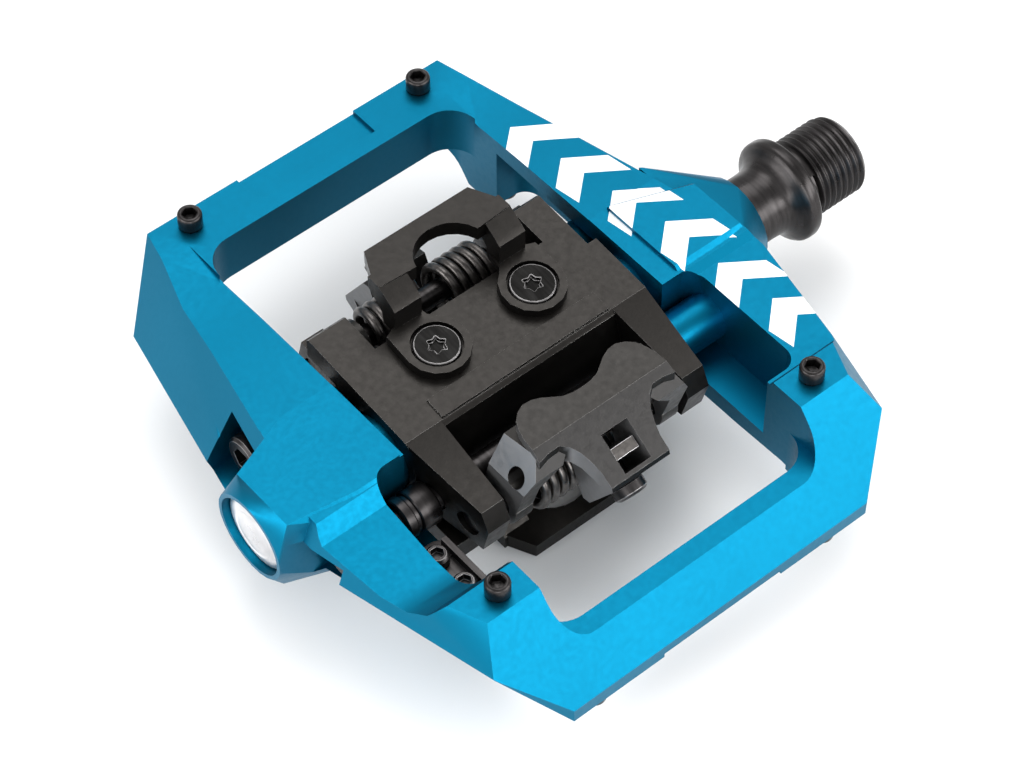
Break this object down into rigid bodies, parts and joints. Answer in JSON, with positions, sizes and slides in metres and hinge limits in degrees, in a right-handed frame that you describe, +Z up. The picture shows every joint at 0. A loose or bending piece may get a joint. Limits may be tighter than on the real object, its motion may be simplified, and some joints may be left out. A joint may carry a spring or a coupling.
{
  "type": "clipless bicycle pedal",
  "caption": "Double-sided clipless bicycle pedal: open platform cage with traction pins, sprung cleat binding on both faces and a threaded spindle.",
  "frame": {"origin": "on the spindle axis, half-way along the overall length from end cap to thread end", "axes": "+X along the spindle towards the crank arm, +Y towards the toe side of the platform, +Z up, out of the upper binding"},
  "size_m": [0.1238, 0.106, 0.037],
  "materials": {
    "blue_alloy": "anodised satin blue, forged and machined",
    "silver_cap": "turned, bare",
    "cast_steel": "black oxide over a cast surface",
    "black_steel": "black oxide, turned",
    "spring_steel": "drawn spring wire",
    "bare_steel": "ground bearing steel",
    "seal_rubber": "moulded rubber"
  },
  "bodies": {
    "platform": {"cage": "blue_alloy", "end_cap": "silver_cap", "dust_seal": "seal_rubber", "inner_bearing_a_outer_race": "bare_steel", "inner_bearing_b_outer_race": "bare_steel", "outer_bearing_outer_race": "bare_steel", "binding_body": "cast_steel", "top_front_claw": "cast_steel", "top_claw_screw_outer": "black_steel", "top_claw_screw_crank": "black_steel", "top_jaw_pin": "black_steel", "top_long_bolt": "black_steel", "top_bolt_spacer": "black_steel", "top_bracket": "black_steel", "top_bracket_bolt_1": "black_steel", "top_bracket_bolt_2": "black_steel", "top_pin_1": "black_steel", "top_pin_2": "black_steel", "top_pin_3": "black_steel", "top_pin_4": "black_steel", "bottom_front_claw": "cast_steel", "bottom_claw_screw_outer": "black_steel", "bottom_claw_screw_crank": "black_steel", "bottom_jaw_pin": "black_steel", "bottom_long_bolt": "black_steel", "bottom_bolt_spacer": "black_steel", "bottom_bracket": "black_steel", "bottom_bracket_bolt_1": "black_steel", "bottom_bracket_bolt_2": "black_steel", "bottom_pin_1": "black_steel", "bottom_pin_2": "black_steel", "bottom_pin_3": "black_steel", "bottom_pin_4": "black_steel"},
    "spindle_body": {"spindle": "black_steel", "inner_bearing_a_inner_race": "bare_steel", "inner_bearing_b_inner_race": "bare_steel", "outer_bearing_inner_race": "bare_steel", "spindle_washer": "bare_steel", "spindle_nut": "bare_steel"},
    "inner_bearing_a_ball_set": {"inner_bearing_a_balls": "bare_steel"},
    "inner_bearing_b_ball_set": {"inner_bearing_b_balls": "bare_steel"},
    "outer_bearing_ball_set": {"outer_bearing_balls": "bare_steel"},
    "top_jaw_body": {"top_rear_jaw": "cast_steel", "top_spring_outer": "spring_steel", "top_spring_crank": "spring_steel"},
    "top_tension_screw_body": {"top_tension_screw": "black_steel"},
    "top_tension_nut_body": {"top_tension_nut": "bare_steel"},
    "bottom_jaw_body": {"bottom_rear_jaw": "cast_steel", "bottom_spring_outer": "spring_steel", "bottom_spring_crank": "spring_steel"},
    "bottom_tension_screw_body": {"bottom_tension_screw": "black_steel"},
    "bottom_tension_nut_body": {"bottom_tension_nut": "bare_steel"}
  },
  "joints": [
    {"name": "spindle_spin", "type": "hinge", "parent": "platform", "child": "spindle_body", "pos_m": [0, 0, 0], "axis": [1, 0, 0], "continuous": true},
    {"name": "inner_bearing_a_roll", "type": "hinge", "parent": "platform", "child": "inner_bearing_a_ball_set", "pos_m": [0, 0, 0], "axis": [1, 0, 0], "continuous": true},
    {"name": "inner_bearing_b_roll", "type": "hinge", "parent": "platform", "child": "inner_bearing_b_ball_set", "pos_m": [0, 0, 0], "axis": [1, 0, 0], "continuous": true},
    {"name": "outer_bearing_roll", "type": "hinge", "parent": "platform", "child": "outer_bearing_ball_set", "pos_m": [0, 0, 0], "axis": [1, 0, 0], "continuous": true},
    {"name": "top_jaw_swing", "type": "hinge", "parent": "platform", "child": "top_jaw_body", "pos_m": [-0.01165, -0.0195, 0], "axis": [1, 0, 0], "range_deg": [0, 20], "stiffness_Nm_per_rad": 0.08, "springref_deg": -14.32},
    {"name": "top_tension_turn", "type": "hinge", "parent": "top_jaw_body", "child": "top_tension_screw_body", "pos_m": [-0.01165, -0.02975, 0.00135], "axis": [0, -0.8291, -0.5591], "range_deg": [-1090, 1090]},
    {"name": "top_tension_nut_travel", "type": "slide", "parent": "top_jaw_body", "child": "top_tension_nut_body", "axis": [0, -0.8291, -0.5591], "range_m": [-0.0021, 0.0021]},
    {"name": "bottom_jaw_swing", "type": "hinge", "parent": "platform", "child": "bottom_jaw_body", "pos_m": [-0.01165, 0.0195, 0], "axis": [1, 0, 0], "range_deg": [0, 20], "stiffness_Nm_per_rad": 0.08, "springref_deg": -14.32},
    {"name": "bottom_tension_turn", "type": "hinge", "parent": "bottom_jaw_body", "child": "bottom_tension_screw_body", "pos_m": [-0.01165, 0.02975, -0.00135], "axis": [0, 0.8291, 0.5591], "range_deg": [-1090, 1090]},
    {"name": "bottom_tension_nut_travel", "type": "slide", "parent": "bottom_jaw_body", "child": "bottom_tension_nut_body", "axis": [0, 0.8291, 0.5591], "range_m": [-0.0021, 0.0021]}
  ],
  "couplings": [
    {"joint": "inner_bearing_a_roll", "follows": "spindle_spin", "ratio": 0.46},
    {"joint": "inner_bearing_b_roll", "follows": "spindle_spin", "ratio": 0.46},
    {"joint": "outer_bearing_roll", "follows": "spindle_spin", "ratio": 0.418},
    {"joint": "top_tension_turn", "follows": "top_tension_nut_travel", "rad_per_m": 8976},
    {"joint": "bottom_tension_turn", "follows": "bottom_tension_nut_travel", "rad_per_m": 8976}
  ]
}
